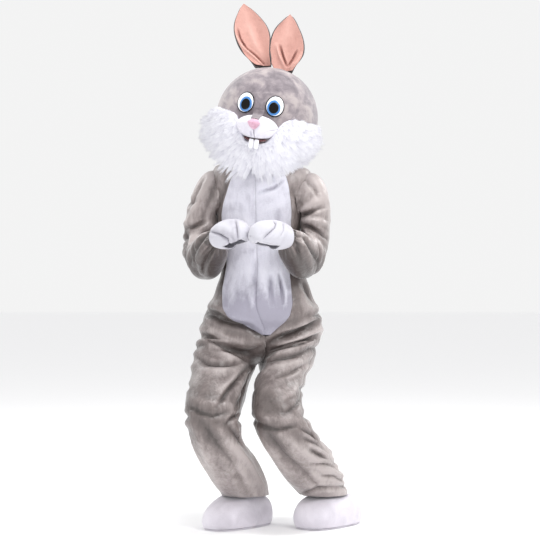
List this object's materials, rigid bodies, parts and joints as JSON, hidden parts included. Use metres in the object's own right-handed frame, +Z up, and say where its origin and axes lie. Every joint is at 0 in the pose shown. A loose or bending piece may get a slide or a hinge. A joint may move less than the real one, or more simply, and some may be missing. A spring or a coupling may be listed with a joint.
{
  "type": "worn rabbit mascot costume",
  "caption": "Hollow full-body rabbit mascot costume in its worn pose: grey velour jumpsuit with a white belly panel, foam head with long ears and fur ruff, mitts and shoe covers.",
  "frame": {"origin": "base of the wearer's neck, between the shoulders, where the costume is carried", "axes": "+Z up, -Y to the front, +X to the wearer's left; the soles are 1.247 m below the origin"},
  "size_m": [0.6314, 0.5211, 1.825],
  "materials": {
    "grey_velour": "short-pile crushed velour, satin sheen along the folds",
    "grey_plush": "mottled short plush over foam",
    "white_velour": "short-pile velour with a satin sheen",
    "white_plush": "short white plush, padded",
    "white_fur": "long shaggy faux fur",
    "dark_velour": "short-pile velour, matt",
    "pink_velour": "short-pile velour with a soft sheen",
    "pink_plush": "short plush, padded",
    "black_gloss": "glossy moulded plastic",
    "white_gloss": "glossy moulded plastic",
    "blue_gloss": "glossy moulded plastic",
    "mouth_felt": "matt felt",
    "white_felt": "matt stiffened felt"
  },
  "bodies": {
    "root": {"back_left": "grey_velour", "back_placket": "grey_velour", "back_right": "grey_velour", "bib_left": "white_velour", "bib_right": "white_velour", "ear_left_back": "dark_velour", "ear_left_lining": "pink_velour", "ear_right_back": "dark_velour", "ear_right_lining": "pink_velour", "eye_iris_left": "blue_gloss", "eye_iris_right": "blue_gloss", "eye_pupil_left": "black_gloss", "eye_pupil_right": "black_gloss", "eye_rim_left": "black_gloss", "eye_rim_right": "black_gloss", "eye_white_left": "white_gloss", "eye_white_right": "white_gloss", "front_left": "grey_velour", "front_right": "grey_velour", "head_back": "grey_plush", "head_front": "grey_plush", "mitt_left": "white_plush", "mitt_right": "white_plush", "mouth": "mouth_felt", "muzzle_left": "white_plush", "muzzle_right": "white_plush", "neckband": "grey_velour", "nose": "pink_plush", "nose_bridge": "grey_plush", "ruff_left": "white_fur", "ruff_right": "white_fur", "shoe_sole_left": "white_plush", "shoe_sole_right": "white_plush", "shoe_upper_left": "white_plush", "shoe_upper_right": "white_plush", "sleeve_left": "grey_velour", "sleeve_right": "grey_velour", "tooth_left": "white_felt", "tooth_right": "white_felt"}
  },
  "joints": []
}
